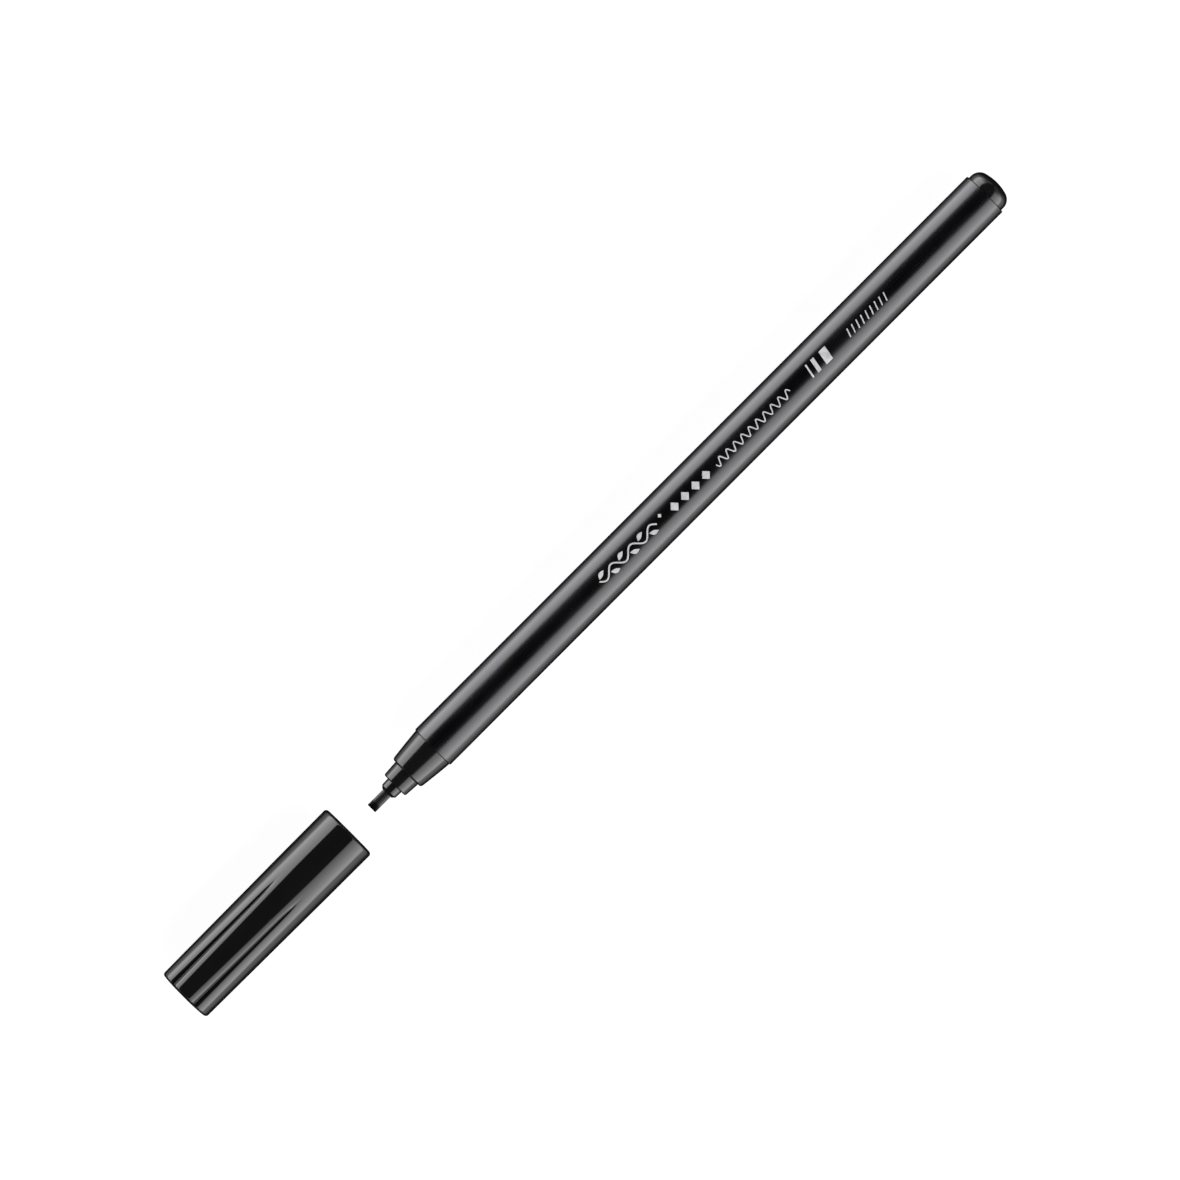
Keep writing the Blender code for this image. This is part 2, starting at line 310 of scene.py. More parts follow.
def flat_bar(half_width, half_thickness, rounding, ridge_depth=0.0):
    """A crowned bar with rounded edges and fine ridges of fibre, wide along Y, in evenly spaced points."""
    flat = half_width - rounding
    edge = half_thickness - rounding
    bend = rounding * math.pi / 2
    quarter = flat + bend + edge

    def point(angle):
        turns, along = divmod(angle / (math.pi / 2) % 4, 1)
        mirrored = int(turns) % 2 == 1
        travelled = quarter * (1 - along if mirrored else along)
        ridge = ridge_depth / 2 * (1 - math.cos(NIB_RIDGES * angle))
        around = min(max((travelled - flat) / bend, 0.0), 1.0) * math.pi / 2
        across, up = polar(rounding - ridge, around)
        y = min(travelled, flat) + across
        z = (edge - max(travelled - flat - bend, 0.0) + up) * (1 - NIB_CROWN * (y / half_width) ** 2)
        return (y if turns < 2 else -y), (z if turns in (0, 3) else -z)
    return point


# Outlines: lists of points (x, distance from the axis).

def rounded(corners, closed=False):
    """Points along corners (x, radius, rounding), each corner with its own rounding."""
    points = []
    for index, (x, radius, rounding) in enumerate(corners):
        corner = Vector((x, radius))
        at_end = not closed and index in (0, len(corners) - 1)
        if at_end or not rounding:
            points.append(corner)
            continue
        back = (Vector(corners[index - 1][:2]) - corner).normalized()
        ahead = (Vector(corners[(index + 1) % len(corners)][:2]) - corner).normalized()
        turn = math.pi - back.angle(ahead)
        setback = rounding * math.tan(turn / 2)
        centre = corner + (back + ahead).normalized() * rounding / math.cos(turn / 2)
        first = (corner + back * setback - centre).normalized()
        last = (corner + ahead * setback - centre).normalized()
        steps = max(2, math.ceil(turn / ARC_STEP))
        points += [centre + rounding * first.slerp(last, step / steps) for step in range(steps + 1)]
    return spaced(points)


def chamfered(x, radius, size):
    """The two corners of a chamfer on the front edge of a step, barely rounded."""
    return [(x, radius - size, CHAMFER_ROUNDS[0]), (x + size, radius, CHAMFER_ROUNDS[1])]


def spaced(points):
    """The points, with more between those far apart: one close to each end, and the rest evenly."""
    filled = [points[0]]
    for near, far in zip(points, points[1:]):
        length = (far - near).length
        if length > 4 * SUPPORT_GAP:
            inner = length - 2 * SUPPORT_GAP
            count = math.ceil(inner / LONGEST_FACE)
            reaches = [SUPPORT_GAP + inner * step / count for step in range(count + 1)]
            filled += [near.lerp(far, reach / length) for reach in reaches]
        filled.append(far)
    return filled


def turned(points):
    return [(x, circle(radius)) for x, radius in points]


# Building.

def skin(name, rings, is_tube, sides=SIDES):
    """A mesh through rings (x, section). A section of None is a point on the axis that closes an end."""
    mesh = bmesh.new()
    loops = []
    for x, section in rings:
        if section is None:
            loops.append([mesh.verts.new((x * MM, 0.0, 0.0))])
            continue
        around = [section(2 * math.pi * side / sides) for side in range(sides)]
        loops.append([mesh.verts.new((x * MM, y * MM, z * MM)) for y, z in around])
    joins = list(zip(loops, loops[1:]))
    if is_tube:
        joins.append((loops[-1], loops[0]))
    for near, far in joins:
        for side in range(sides):
            following = (side + 1) % sides
            if len(near) == 1:
                mesh.faces.new((near[0], far[following], far[side]))
            elif len(far) == 1:
                mesh.faces.new((near[side], near[following], far[0]))
            else:
                mesh.faces.new((near[side], near[following], far[following], far[side]))
    return finished(name, mesh)


def finished(name, mesh):
    bmesh.ops.recalc_face_normals(mesh, faces=mesh.faces)
    data = bpy.data.meshes.new(name)
    mesh.to_mesh(data)
    mesh.free()
    data.shade_smooth()
    data.set_sharp_from_angle(angle=SHARP_ANGLE)
    piece = bpy.data.objects.new(name, data)
    bpy.context.scene.collection.objects.link(piece)
    return piece


# The pen's pieces, from the nib's tip.

def make_nib():
    body = (NIB_HALF_WIDTH, NIB_HALF_THICKNESS, NIB_ROUNDING)
    rings = [(0.0, None)]
    for x, inset, half_thickness in NIB_EDGE:
        rounding = NIB_EDGE_ROUNDNESS * half_thickness
        rings.append((x, flat_bar(NIB_HALF_WIDTH - inset, half_thickness, rounding)))

    bevel_x = NIB_EDGE[-1][0]
    bevel_steps = 8
    for step in range(1, bevel_steps + 1):
        share = step / bevel_steps
        rise = share - NIB_BEVEL_WAVE * math.sin(math.tau * share) / math.tau
        half_thickness = NIB_EDGE_HALF_THICKNESS + (NIB_HALF_THICKNESS - NIB_EDGE_HALF_THICKNESS) * rise
        rounding = min(NIB_EDGE_ROUNDNESS * half_thickness, NIB_ROUNDING)
        section = flat_bar(NIB_HALF_WIDTH, half_thickness, rounding, NIB_RIDGE_DEPTH * share)
        rings.append((bevel_x + (NIB_BEVEL_END_X - bevel_x) * share, section))

    body_end = NIB_REAR_X - NIB_REAR_POINT
    body_steps = 24
    for step in range(1, body_steps + 1):
        x = NIB_BEVEL_END_X + (body_end - NIB_BEVEL_END_X) * step / body_steps
        rings.append((x, flat_bar(*body, NIB_RIDGE_DEPTH)))
    rings.append((NIB_REAR_X, flat_bar(NIB_HALF_WIDTH / 2, NIB_HALF_THICKNESS / 2, NIB_ROUNDING / 2)))
    rings.append((NIB_REAR_X, None))
    return skin("nib_fine", rings, False, NIB_SIDES)


def make_nib_holder():
    shoulder_x = CONE_X - FACE_GAP
    stem_radius = STEM_RADIUS - FIT_GAP
    outside = rounded([
        *chamfered(TIP_COLLAR_X, TIP_COLLAR_RADII[0], TIP_COLLAR_RADII[0] - TIP_COLLAR_FACE_RADIUS),
        (COLLAR_X, TIP_COLLAR_RADII[1], 0.06),
        *chamfered(COLLAR_X, COLLAR_RADII[0], COLLAR_CHAMFER),
        (shoulder_x, COLLAR_RADII[1], EDGE_ROUND),
        (shoulder_x, stem_radius, 0.0),
        (STEM_END_X, stem_radius, 0.15),
        (STEM_END_X, STEM_END_RADIUS, 0.0),
    ])
    half_width = NIB_HALF_WIDTH + NIB_SLOT_GAP
    half_thickness = NIB_HALF_THICKNESS + NIB_SLOT_GAP
    slot = flat_bar(half_width, half_thickness, NIB_ROUNDING)
    flare = flat_bar(half_width + NIB_SLOT_FLARE, half_thickness + NIB_SLOT_FLARE, NIB_ROUNDING)
    flare_end_x = TIP_COLLAR_X + NIB_SLOT_FLARE_LENGTH
    inside = [(STEM_END_X, slot), (flare_end_x, slot), (TIP_COLLAR_X, flare)]
    return skin("nib_holder_fine", turned(outside) + inside, True)


def make_nose_cone():
    shoulder_x = BARREL_X - FACE_GAP
    spigot_radius = BARREL_BORE - FIT_GAP
    side = chamfered(CONE_X, CONE_RADII[0], CONE_CHAMFER)
    side_steps = 10
    for step in range(1, side_steps):
        share = step / side_steps
        radius = CONE_RADII[0] + (CONE_RADII[1] - CONE_RADII[0]) * share
        swell = CONE_SWELL * 4 * share * (1 - share)
        side.append((CONE_X + (shoulder_x - CONE_X) * share, radius + swell, 0.0))
    points = rounded([
        (CONE_X, STEM_RADIUS, 0.08),
        *side,
        (shoulder_x, CONE_RADII[1], EDGE_ROUND),
        (shoulder_x, spigot_radius, 0.0),
        (SPIGOT_END_X - SPIGOT_LEAD, spigot_radius, 0.0),
        (SPIGOT_END_X, spigot_radius - SPIGOT_LEAD, 0.0),
        (SPIGOT_END_X, SPIGOT_BORE, 0.0),
        (CONE_SEAT_END_X, SPIGOT_BORE, 0.0),
        (CONE_SEAT_END_X, STEM_RADIUS, 0.0),
    ], closed=True)
    return skin("nose_cone_fine", turned(points), True)


def make_barrel():
    outside = rounded([
        (BARREL_X, BARREL_BORE, 0.0),
        (BARREL_X, BARREL_RADIUS, BARREL_ROUND),
        (PLUG_X, BARREL_RADIUS, BARREL_ROUND),
        (PLUG_X, BARREL_BORE, 0.0),
    ])
    bore = circle(BARREL_BORE)
    ribs = ribbed(BARREL_BORE, RIB_CREST_RADIUS)
    inside = [
        (RIB_END_X, bore),
        (RIB_END_X - RIB_LEAD, ribs),
        (RIB_START_X + RIB_LEAD, ribs),
        (RIB_START_X, bore),
    ]
    return skin("barrel_fine", turned(outside) + inside, True)


def make_ink_reservoir():
    """A fibre rod, with a pocket in its front face where the nib's rear end sits."""
    half_width = NIB_HALF_WIDTH + NIB_POCKET_GAP
    pocket = flat_bar(half_width, NIB_HALF_THICKNESS + NIB_POCKET_GAP, NIB_ROUNDING)
    pocket_x = NIB_REAR_X + NIB_POCKET_GAP
    outside = rounded([
        (RESERVOIR_X, POCKET_SURROUND_RADIUS, 0.0),
        (RESERVOIR_X, FIBRE_RADIUS, FIBRE_ROUND),
        (RESERVOIR_END_X, FIBRE_RADIUS, FIBRE_ROUND),
        (RESERVOIR_END_X, FACE_MIDDLE, 0.0),
    ])
    rings = [(pocket_x, None), (pocket_x, pocket), (RESERVOIR_X, pocket)]
    return skin("ink_reservoir_fine", rings + turned(outside) + [(RESERVOIR_END_X, None)], False)


def make_reservoir_film():
    bore = FIBRE_RADIUS + FIT_GAP
    front_x = RESERVOIR_X + FILM_SETBACK
    rear_x = RESERVOIR_END_X - FILM_SETBACK
    points = rounded([
        (front_x, bore, 0.0),
        (front_x, bore + FILM_THICKNESS, FILM_ROUND),
        (rear_x, bore + FILM_THICKNESS, FILM_ROUND),
        (rear_x, bore, 0.0),
    ], closed=True)
    return skin("reservoir_film_fine", turned(points), True)


def plug_dome():
    """From the middle of the dome out to its side: a shallow crown, then a round corner."""
    crown_x = PEN_LENGTH - PLUG_CROWN_RADIUS
    from_crown = PLUG_CROWN_RADIUS - PLUG_ROUND
    corner_radius = PLUG_RADIUS - PLUG_ROUND
    meeting_angle = math.asin(corner_radius / from_crown)
    corner = Vector((crown_x + from_crown * math.cos(meeting_angle), corner_radius))
    points = []
    crown_steps = 8
    for step in range(1, crown_steps + 1):
        angle = meeting_angle * step / crown_steps
        points.append(Vector((crown_x, 0.0)) + PLUG_CROWN_RADIUS * Vector((math.cos(angle), math.sin(angle))))
    corner_steps = 14
    for step in range(1, corner_steps + 1):
        angle = meeting_angle + (math.pi / 2 - meeting_angle) * step / corner_steps
        points.append(corner + PLUG_ROUND * Vector((math.cos(angle), math.sin(angle))))
    return points


def make_end_plug():
    base_x = PLUG_X + FACE_GAP
    spigot_radius = BARREL_BORE - FIT_GAP
    dome = plug_dome()
    points = rounded([
        (*dome[-1], 0.0),
        (base_x, PLUG_RADIUS, 0.03),
        (base_x, spigot_radius, 0.0),
        (PLUG_SPIGOT_X + SPIGOT_LEAD, spigot_radius, 0.0),
        (PLUG_SPIGOT_X, spigot_radius - SPIGOT_LEAD, 0.0),
        (PLUG_SPIGOT_X, PLUG_BORE, 0.0),
        (PLUG_X, PLUG_BORE, 0.0),
        (PLUG_BORE_END_X, PLUG_BORE_END_RADIUS, 0.0),
        (PLUG_BORE_END_X, FACE_MIDDLE, 0.0),
    ])
    rings = [(PEN_LENGTH, None)] + turned(dome[:-1] + points) + [(PLUG_BORE_END_X, None)]
    return skin("end_plug_fine", rings, False)


# The cap's pieces, from the cap's mouth.

def cap_crest(depth_in):
    """The outer radius at a flute's crest, which narrows a little behind the rounded mouth."""
    along = (depth_in - CAP_MOUTH_ROUND) / (CAP_LENGTH - CAP_MOUTH_ROUND)
    return CAP_RADIUS - CAP_TAPER * math.sqrt(max(along, 0.0))


def flute_strength(depth_in):
    """0 where the cap is round, rising to 1 at its closed end."""
    return max((depth_in - FLUTE_START) / (CAP_LENGTH - FLUTE_START), 0.0)


def eased(share):
    return share * share * (3 - 2 * share)


def groove_depth(depth_in):
    return GROOVE_DEPTH * eased(min(max((depth_in - GROOVE_START) / GROOVE_RUN_OUT, 0.0), 1.0))


def cap_end_rings():
    """The closed end, from its middle out to the side: a gate mark, a shallow crown, and a round corner."""
    side_end = CAP_LENGTH - CAP_END_CROWN - CAP_END_ROUND
    full = flute_strength(side_end)
    corner_radius = cap_crest(side_end) - CAP_END_ROUND
    gate = rounded([
        (-CAP_LENGTH + GATE_DEPTH, GATE_MIDDLE, 0.0),
        (-CAP_LENGTH + GATE_DEPTH, GATE_RADIUS, GATE_ROUND),
        (-CAP_LENGTH, GATE_RADIUS + GATE_SLOPE, GATE_ROUND),
        (-CAP_LENGTH, CAP_END_FLAT_RADIUS, 0.0),
    ])
    rings = [(-CAP_LENGTH + GATE_DEPTH, None)] + [(x, fluted(radius, 0.0)) for x, radius in gate]
    crown_steps = 12
    for step in range(1, crown_steps + 1):
        share = step / crown_steps
        radius = CAP_END_FLAT_RADIUS + (corner_radius - CAP_END_FLAT_RADIUS) * share
        section = fluted(radius, full * eased(share), GROOVE_DEPTH * eased(share))
        rings.append((-CAP_LENGTH + CAP_END_CROWN * share ** 2, section))
    corner_steps = 10
    for step in range(1, corner_steps + 1):
        angle = math.pi / 2 * step / corner_steps
        x = -side_end - CAP_END_ROUND * math.cos(angle)
        rings.append((x, fluted(corner_radius + CAP_END_ROUND * math.sin(angle), full, GROOVE_DEPTH)))
    return rings


def make_cap_shell():
    side_end = CAP_LENGTH - CAP_END_CROWN - CAP_END_ROUND
    rings = cap_end_rings()
    side_steps = math.ceil(side_end / LONGEST_CAP_FACE)
    for step in range(1, side_steps + 1):
        depth_in = side_end + (CAP_MOUTH_ROUND + SUPPORT_GAP - side_end) * step / side_steps
        section = fluted(cap_crest(depth_in), flute_strength(depth_in), groove_depth(depth_in))
        rings.append((-depth_in, section))

    bore_end = -CAP_LENGTH + CAP_END_WALL
    inside = rounded([
        (-CAP_MOUTH_ROUND - SUPPORT_GAP, CAP_RADIUS, 0.0),
        (0.0, CAP_RADIUS, CAP_MOUTH_ROUND),
        (0.0, CAP_BORE + CAP_MOUTH_LEAD, EDGE_ROUND),
        (-CAP_MOUTH_LEAD, CAP_BORE, 0.0),
        (-CAP_BORE_STEP, CAP_BORE, 0.0),
        (-CAP_BORE_STEP - CAP_BORE_STEP_LENGTH, CAP_INNER_BORE, 0.0),
        (bore_end, CAP_INNER_BORE, CAP_BORE_END_ROUND),
        (bore_end, FACE_MIDDLE, 0.0),
    ])
    rings += [(x, fluted(radius, 0.0)) for x, radius in inside[1:]]
    rings.append((bore_end, None))
    return skin("cap_shell_fine", rings, False, CAP_SIDES)


def make_cap_inner_cup():
    base_x = -CAP_LENGTH + CAP_END_WALL + FACE_GAP
    flange_radius = CAP_INNER_BORE - FIT_GAP
    points = rounded([
        (base_x, FACE_MIDDLE, 0.0),
        (base_x, flange_radius, CAP_BORE_END_ROUND),
        (-CUP_FLANGE_START, flange_radius, 0.08),
        (-CUP_FLANGE_START, CUP_RADIUS, 0.10),
        (-CUP_LIP, CUP_RADIUS, CUP_LEAD),
        (-CUP_LIP, CUP_BORE, CUP_LEAD),
        (base_x + CUP_BASE, CUP_BORE, 0.20),
        (base_x + CUP_BASE, FACE_MIDDLE, 0.0),
    ])
    rings = [(base_x, None)] + turned(points) + [(base_x + CUP_BASE, None)]
    return skin("cap_inner_cup_fine", rings, False)


# Print: strokes of ink as a pen's broad edge would lay them. Each is a patch whose point (x, across) is
# given for shares along and across it, and x is measured from the nib's tip.

def wrap(x, across, radius):
    """A point of the print on the barrel: across is measured round it, towards -Y."""
    y, z = polar(radius, PRINT_TURN - across / BARREL_RADIUS)
    return x * MM, y * MM, z * MM


def lay_patch(mesh, point, length, width):
    """A closed film of ink over the patch."""
    columns = max(1, math.ceil(length / PRINT_CELL))
    rows = max(1, math.ceil(width / PRINT_CELL))
    spots = [[point(i / columns, j / rows) for j in range(rows + 1)] for i in range(columns + 1)]
    top = [[mesh.verts.new(wrap(*spot, PRINT_TOP)) for spot in line] for line in spots]
    bottom = [[mesh.verts.new(wrap(*spot, PRINT_BOTTOM)) for spot in line] for line in spots]
    for i in range(columns):
        for j in range(rows):
            mesh.faces.new((top[i][j], top[i + 1][j], top[i + 1][j + 1], top[i][j + 1]))
            mesh.faces.new((bottom[i][j], bottom[i][j + 1], bottom[i + 1][j + 1], bottom[i + 1][j]))
    rim = [(i, 0) for i in range(columns)] + [(columns, j) for j in range(rows)]
    rim += [(i, rows) for i in range(columns, 0, -1)] + [(0, j) for j in range(rows, 0, -1)]
    for (i, j), (next_i, next_j) in zip(rim, rim[1:] + rim[:1]):
        mesh.faces.new((top[i][j], bottom[i][j], bottom[next_i][next_j], top[next_i][next_j]))


def lay_bar(mesh, x, across, length, width, slant):
    """A bar whose sides lean by slant from start to end of its width."""
    def point(along, over):
        shift = width * (over - 0.5)
        return x + length * (along - 0.5) + slant * shift, across + shift
    lay_patch(mesh, point, length, width)


def lay_diamond(mesh, x, across, reach_x, reach_across):
    def point(along, over):
        return x + reach_x * (along + over - 1), across + reach_across * (over - along)
    side = math.hypot(reach_x, reach_across)
    lay_patch(mesh, point, side, side)


def lay_wave(mesh, start, end, wavelength, swing, width):
    """A stroke of even width along a sine line."""
    def point(along, over):
        x = start + (end - start) * along
        phase = math.tau * (x - start) / wavelength
        middle = Vector((x, swing * math.sin(phase)))
        normal = Vector((-swing * math.tau / wavelength * math.cos(phase), 1.0)).normalized()
        return tuple(middle + normal * width * (over - 0.5))
    lay_patch(mesh, point, WAVE_FINENESS * (end - start), width)


def lay_leaf(mesh, x, across, length, width, lean, bend):
    """A pointed, curved leaf that starts at (x, across) and leans away from the pen's line."""
    def point(along, over):
        forward = length * along
        half_width = max(width / 2 * math.sin(math.pi * along), LEAF_TIP_WIDTH / 2)
        sideways = bend * math.sin(math.pi * along) + half_width * (2 * over - 1)
        return (x + forward * math.cos(lean) - sideways * math.sin(lean),
                across + forward * math.sin(lean) + sideways * math.cos(lean))
    lay_patch(mesh, point, length, width)


def lay_vine(mesh, start, periods, wavelength, swing):
    """A thin waving stem, with a leaf that grows out over each bend."""
    lay_wave(mesh, start, start + periods * wavelength, wavelength, swing, STEM_WIDTH)
    for bend in range(2 * periods):
        side = 1 if bend % 2 == 0 else -1
        root_x = start + wavelength * (bend + LEAF_PHASE) / 2 + LEAF_SETBACK
        lean = -LEAF_LEAN * side
        lay_leaf(mesh, root_x, -LEAF_ROOT * side, LEAF_LENGTH, LEAF_WIDTH, lean, -LEAF_BEND * side)


def make_print():
    mesh = bmesh.new()
    lay_vine(mesh, **VINE)
    lay_diamond(mesh, **SMALL_DIAMOND)
    for index in range(DIAMOND_COUNT):
        lay_diamond(mesh, DIAMOND_START + DIAMOND_SPACING * index, 0.0, *DIAMOND_REACH)
    lay_wave(mesh, **THIN_WAVE)
    for x, length in BARS:
        lay_bar(mesh, x, 0.0, length, BAR_WIDTH, BAR_SLANT)
    for index in range(TICK_COUNT):
        lay_bar(mesh, TICK_START + TICK_SPACING * index, TICK_ACROSS, TICK_LENGTH, TICK_WIDTH, TICK_SLANT)
    return finished("barrel_print", mesh)


# Materials.

def add(tree, kind, **inputs):
    """A new shader node. Each input is named with _ for a space, and is linked when it is a socket."""
    made = tree.nodes.new("ShaderNode" + kind)
    for key, value in inputs.items():
        feed(tree, made.inputs[key.replace("_", " ")], value)
    return made


def feed(tree, socket, value):
    if isinstance(value, bpy.types.NodeSocket):
        tree.links.new(value, socket)
    else:
        socket.default_value = value


def maths(tree, operation, *values):
    made = tree.nodes.new("ShaderNodeMath")
    made.operation = operation
    for socket, value in zip(made.inputs, values):
        feed(tree, socket, value)
    return made.outputs[0]


def between(tree, value, low, high, to_low=0.0, to_high=1.0):
    """The value remapped from low..high, and held inside the range it is mapped to."""
    made = add(tree, "MapRange", Value=value, From_Min=low, From_Max=high, To_Min=to_low, To_Max=to_high)
    return made.outputs["Result"]


def tinted(tree, share, first, second):
    """The colour that blends from first to second."""
    made = tree.nodes.new("ShaderNodeMix")
    made.data_type = "RGBA"
    feed(tree, made.inputs[0], share)
    for socket, colour in ((made.inputs[6], first), (made.inputs[7], second)):
        feed(tree, socket, colour if isinstance(colour, bpy.types.NodeSocket) else (*colour, 1.0))
    return made.outputs[2]


def noise(tree, stretch, detail=3.0, turn=(0.0, 0.0, 0.0)):
    """Noise in the piece's own space. Stretch is how many times it varies in a metre along X, Y and Z."""
    place = add(tree, "TexCoord").outputs["Object"]
    mapped = add(tree, "Mapping", Vector=place, Rotation=turn, Scale=stretch).outputs["Vector"]
    return add(tree, "TexNoise", Vector=mapped, Scale=1.0, Detail=detail).outputs["Fac"]


def specks(tree, per_metre, size):
    """1 on sparse round specks, and 0 elsewhere."""
    place = add(tree, "TexCoord").outputs["Object"]
    cells = add(tree, "TexVoronoi", Vector=place, Scale=per_metre)
    is_chosen = maths(tree, "GREATER_THAN", cells.outputs["Color"], 0.72)
    return maths(tree, "MULTIPLY", between(tree, cells.outputs["Distance"], size, size / 2), is_chosen)


def bumped(tree, height, distance, strength, below=None):
    made = add(tree, "Bump", Height=height, Distance=distance, Strength=strength)
    if below is not None:
        feed(tree, made.inputs["Normal"], below)
    return made.outputs["Normal"]


def new_material(name):
    material = bpy.data.materials.new(name)
    material.use_nodes = True
    return material, material.node_tree, material.node_tree.nodes["Principled BSDF"]


def scaled(colour, factor):
    return tuple(channel * factor for channel in colour)


def black_plastic(name, colour, roughness, ior, peel, draw_lines=0.0, glint=(1.0, 1.0, 1.0)):
    """Black plastic: faint mottling, a moulded skin, hairline scratches, drawn lines, dull edges and dust."""
    material, tree, shader = new_material(name)
    mottle = noise(tree, (70, 240, 240), 4.0)
    skin_height = noise(tree, (700, 900, 900), 2.0)
    lines = noise(tree, (14, 3600, 3600), 2.0)
    scratch_noise = noise(tree, (60, 1500, 1500), 1.0, (0.25, 0.35, 0.30))
    off_line = maths(tree, "ABSOLUTE", maths(tree, "SUBTRACT", scratch_noise, 0.5))
    scratches = between(tree, off_line, 0.004, 0.0)
    edges = between(tree, add(tree, "NewGeometry").outputs["Pointiness"], 0.52, 0.60)
    dust = specks(tree, 650, 0.045)

    colours = tinted(tree, mottle, scaled(colour, 0.8), scaled(colour, 1.25))
    colours = tinted(tree, maths(tree, "MULTIPLY", edges, 0.5), colours, scaled(colour, 2.4))
    colours = tinted(tree, maths(tree, "MULTIPLY", dust, 0.35), colours, (0.10, 0.10, 0.095))
    feed(tree, shader.inputs["Base Color"], colours)

    dullness = between(tree, mottle, 0.3, 0.7, 0.85 * roughness, 1.2 * roughness)
    dullness = maths(tree, "ADD", dullness, maths(tree, "MULTIPLY", scratches, 0.10))
    dullness = maths(tree, "ADD", dullness, maths(tree, "MULTIPLY", edges, 0.12))
    dullness = maths(tree, "ADD", dullness, maths(tree, "MULTIPLY", dust, 0.5))
    feed(tree, shader.inputs["Roughness"], dullness)

    normal = bumped(tree, skin_height, 0.00001, peel)
    normal = bumped(tree, lines, 0.00001, draw_lines, normal)
    normal = bumped(tree, scratches, -0.000004, 0.25, normal)
    feed(tree, shader.inputs["Normal"], normal)
    shader.inputs["IOR"].default_value = ior
    shader.inputs["Specular Tint"].default_value = (*glint, 1.0)
    return material


def fibre(name, dark, light, roughness, tip_shade_end=0.0):
    """Bonded fibres that run along X, with ink between them, and painted shade near the tip: darker and less
    shiny up to the given X.
    """
    material, tree, shader = new_material(name)
    strands = noise(tree, (260, 9000, 9000), 3.0)
    blots = noise(tree, (900, 1500, 1500), 3.0)
    dry_strands = between(tree, strands, 0.35, 0.70)
    share = maths(tree, "MULTIPLY", dry_strands, between(tree, blots, 0.25, 0.60, 0.4, 1.0))
    # Painted shade: within the given length of the tip the fibres are made darker and less shiny, standing in
    # for the shade on the bevel.
    if tip_shade_end:
        along = add(tree, "SeparateXYZ", Vector=add(tree, "TexCoord").outputs["Object"]).outputs["X"]
        ragged = maths(tree, "ADD", along, maths(tree, "MULTIPLY", strands, 0.0006))
        outside_tip_shade = between(tree, ragged, tip_shade_end, tip_shade_end + 0.0005, 0.15, 1.0)
        share = maths(tree, "MULTIPLY", share, outside_tip_shade)
        feed(tree, shader.inputs["Specular IOR Level"], maths(tree, "MULTIPLY", outside_tip_shade, 0.5))
    feed(tree, shader.inputs["Base Color"], tinted(tree, share, dark, light))
    dullness = between(tree, strands, 0.3, 0.7, roughness - 0.08, roughness + 0.08)
    feed(tree, shader.inputs["Roughness"], dullness)
    normal = bumped(tree, strands, 0.00004, 0.6)
    feed(tree, shader.inputs["Normal"], bumped(tree, blots, 0.00002, 0.3, normal))
    return material


def milky_plastic():
    material, tree, shader = new_material("milky_polythene")
    cloud = noise(tree, (180, 300, 300), 3.0)
    skin_height = noise(tree, (1400, 1400, 1400), 2.0)
    feed(tree, shader.inputs["Base Color"], tinted(tree, cloud, (0.56, 0.56, 0.53), (0.68, 0.68, 0.66)))
    feed(tree, shader.inputs["Roughness"], between(tree, cloud, 0.3, 0.7, 0.34, 0.46))
    feed(tree, shader.inputs["Normal"], bumped(tree, skin_height, 0.00001, 0.3))
    shader.inputs["Subsurface Weight"].default_value = 0.3
    shader.inputs["Subsurface Radius"].default_value = (0.002, 0.002, 0.0018)
    return material


def clear_film():
    material, tree, shader = new_material("clear_film")
    wrinkles = noise(tree, (90, 700, 700), 3.0)
    feed(tree, shader.inputs["Base Color"], tinted(tree, wrinkles, (0.62, 0.63, 0.65), (0.76, 0.77, 0.78)))
    feed(tree, shader.inputs["Roughness"], between(tree, wrinkles, 0.3, 0.7, 0.18, 0.32))
    feed(tree, shader.inputs["Normal"], bumped(tree, wrinkles, 0.00003, 0.4))
    shader.inputs["Transmission Weight"].default_value = 0.8
    return material


def print_ink():
    """Pale grey ink, a little thin in places, with pinholes."""
    material, tree, shader = new_material("print_ink")
    cover = noise(tree, (900, 1100, 1100), 4.0)
    pinholes = specks(tree, 4200, 0.16)
    shade = tinted(tree, between(tree, cover, 0.30, 0.62), (0.50, 0.50, 0.505), (0.66, 0.66, 0.665))
    holes = maths(tree, "MULTIPLY", pinholes, 0.7)
    feed(tree, shader.inputs["Base Color"], tinted(tree, holes, shade, (0.1, 0.1, 0.1)))
    feed(tree, shader.inputs["Roughness"], between(tree, cover, 0.3, 0.7, 0.38, 0.55))
    feed(tree, shader.inputs["Normal"], bumped(tree, cover, 0.00001, 0.4))
    return material


# Studio.

def make_floor(z):
    """A pale floor that glows a little, so that the pen's shadow stays faint on it."""
    bpy.ops.mesh.primitive_plane_add(size=FLOOR_SIZE, location=(0.0, 0.0, z))
    floor = bpy.context.active_object
    floor.name = "floor"
    material, tree, shader = new_material("floor_paper")
    grain = noise(tree, (60, 60, 60), 2.0)
    feed(tree, shader.inputs["Base Color"], tinted(tree, grain, (0.21, 0.21, 0.21), (0.23, 0.23, 0.23)))
    shader.inputs["Roughness"].default_value = 0.9
    shader.inputs["Emission Color"].default_value = (1.0, 1.0, 1.0, 1.0)
    shader.inputs["Emission Strength"].default_value = FLOOR_GLOW
    floor.data.materials.append(material)
    floor.visible_glossy = False


def glow(tree, from_top, edges, softness, levels):
    """A band of light between two angles from straight up, with soft edges and an even change of level."""
    first, last = edges
    fade_in = between(tree, from_top, first, first + softness[0])
    fade_out = between(tree, from_top, last, last - softness[1])
    level = between(tree, from_top, first, last, *levels)
    return maths(tree, "MULTIPLY", level, maths(tree, "MULTIPLY", fade_in, fade_out))


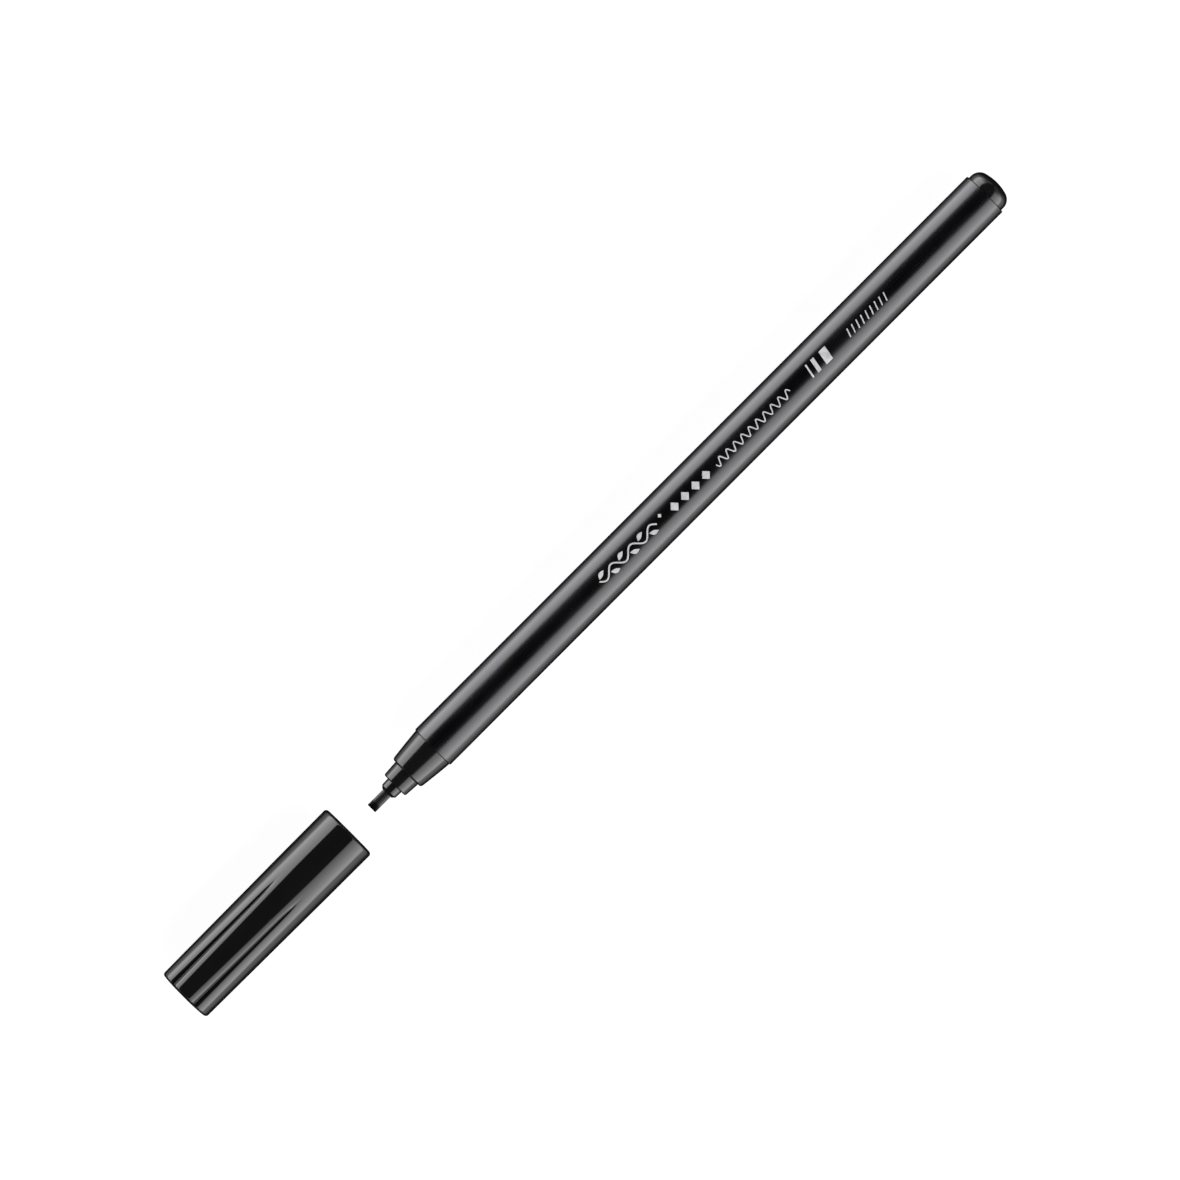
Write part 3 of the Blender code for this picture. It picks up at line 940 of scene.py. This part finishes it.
def make_studio():
    world = bpy.data.worlds.new("studio")
    bpy.context.scene.world = world
    world.use_nodes = True
    tree = world.node_tree
    tree.nodes.clear()
    direction = add(tree, "SeparateXYZ", Vector=add(tree, "TexCoord").outputs["Generated"]).outputs
    turn = maths(tree, "ARCTAN2", direction["Y"], direction["Z"])
    degrees = maths(tree, "MULTIPLY", turn, 180 / math.pi)
    level = glow(tree, maths(tree, "ABSOLUTE", degrees), *FLOOR_BOUNCE)
    for side, edges, softness, levels in SOFT_BOXES:
        box = glow(tree, maths(tree, "MULTIPLY", degrees, side), edges, softness, levels)
        level = maths(tree, "ADD", level, box)
    along = maths(tree, "ABSOLUTE", direction["X"])
    level = maths(tree, "MULTIPLY", level, between(tree, along, *FALL_OFF, 1.0, FALL_OFF_LEVEL))
    boxes = add(tree, "Background", Strength=level).outputs[0]
    backdrop = add(tree, "Background", Color=(1.0, 1.0, 1.0, 1.0), Strength=1.0).outputs[0]
    is_seen = add(tree, "LightPath").outputs["Is Camera Ray"]
    shown = tree.nodes.new("ShaderNodeMixShader")
    feed(tree, shown.inputs[0], is_seen)
    feed(tree, shown.inputs[1], boxes)
    feed(tree, shown.inputs[2], backdrop)
    output = tree.nodes.new("ShaderNodeOutputWorld")
    feed(tree, output.inputs["Surface"], shown.outputs[0])


def make_camera(nib_tip_x, axis_height):
    camera = bpy.data.cameras.new("camera")
    camera.lens = LENS
    camera.sensor_width = SENSOR
    holder = bpy.data.objects.new("camera", camera)
    distance = VIEW_WIDTH * LENS / SENSOR * MM
    holder.location = (nib_tip_x + VIEW_CENTRE_X * MM, VIEW_CENTRE_Y * MM, axis_height + distance)
    holder.rotation_euler = (0.0, 0.0, VIEW_ROLL)
    bpy.context.scene.collection.objects.link(holder)
    bpy.context.scene.camera = holder


# The marker.

def place(piece, body, node, start_x, axis_height, material):
    """Puts a piece on the axis and on its body, with the given material. The CAD node it is given is not
    used.
    """
    piece.location = (start_x, 0.0, axis_height)
    piece.data.materials.append(material)
    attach(piece, body)


def main():
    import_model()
    frame_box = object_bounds()
    bpy.context.scene.view_settings.view_transform = "Standard"

    nib_tip_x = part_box("nib")[0].x
    cap_mouth_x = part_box("cap_shell")[1].x
    barrel_low, barrel_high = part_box("barrel")
    axis_height = (barrel_low.z + barrel_high.z) / 2

    drawn = black_plastic("barrel_black", (0.0018, 0.0018, 0.0021), roughness=0.24, ior=1.66, peel=0.06,
                          draw_lines=0.10, glint=(0.97, 0.95, 1.0))
    moulded = black_plastic("moulded_black", (0.0070, 0.0070, 0.0071), roughness=0.13, ior=1.56, peel=0.12)
    gloss = black_plastic("cap_black", (0.0066, 0.0066, 0.0066), roughness=0.05, ior=1.55, peel=0.06)
    # The nib's first 1.4 mm gets painted shade: darker colour and less shine.
    nib_fibre = fibre("nib_fibre", dark=(0.002, 0.002, 0.0022), light=(0.014, 0.014, 0.014), roughness=0.34,
                      tip_shade_end=0.0014)
    rod_fibre = fibre("rod_fibre", dark=(0.015, 0.015, 0.022), light=(0.06, 0.06, 0.075), roughness=0.85)

    pen = [
        ("nib", make_nib, nib_fibre),
        ("nib_holder", make_nib_holder, moulded),
        ("nose_cone", make_nose_cone, moulded),
        ("barrel", make_barrel, drawn),
        ("ink_reservoir", make_ink_reservoir, rod_fibre),
        ("reservoir_film", make_reservoir_film, clear_film()),
        ("end_plug", make_end_plug, moulded),
    ]
    cap = [("cap_shell", make_cap_shell, gloss), ("cap_inner_cup", make_cap_inner_cup, milky_plastic())]
    for body, start_x, pieces in (("pen", nib_tip_x, pen), ("cap", cap_mouth_x, cap)):
        for node, make, material in pieces:
            piece = make()
            place(piece, body, node, start_x, axis_height, material)
            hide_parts(node)
    place(make_print(), "pen", "barrel", nib_tip_x, axis_height, print_ink())

    make_floor(frame_box[0][2] - FLOOR_DEPTH)
    make_studio()
    make_camera(nib_tip_x, axis_height)


main()
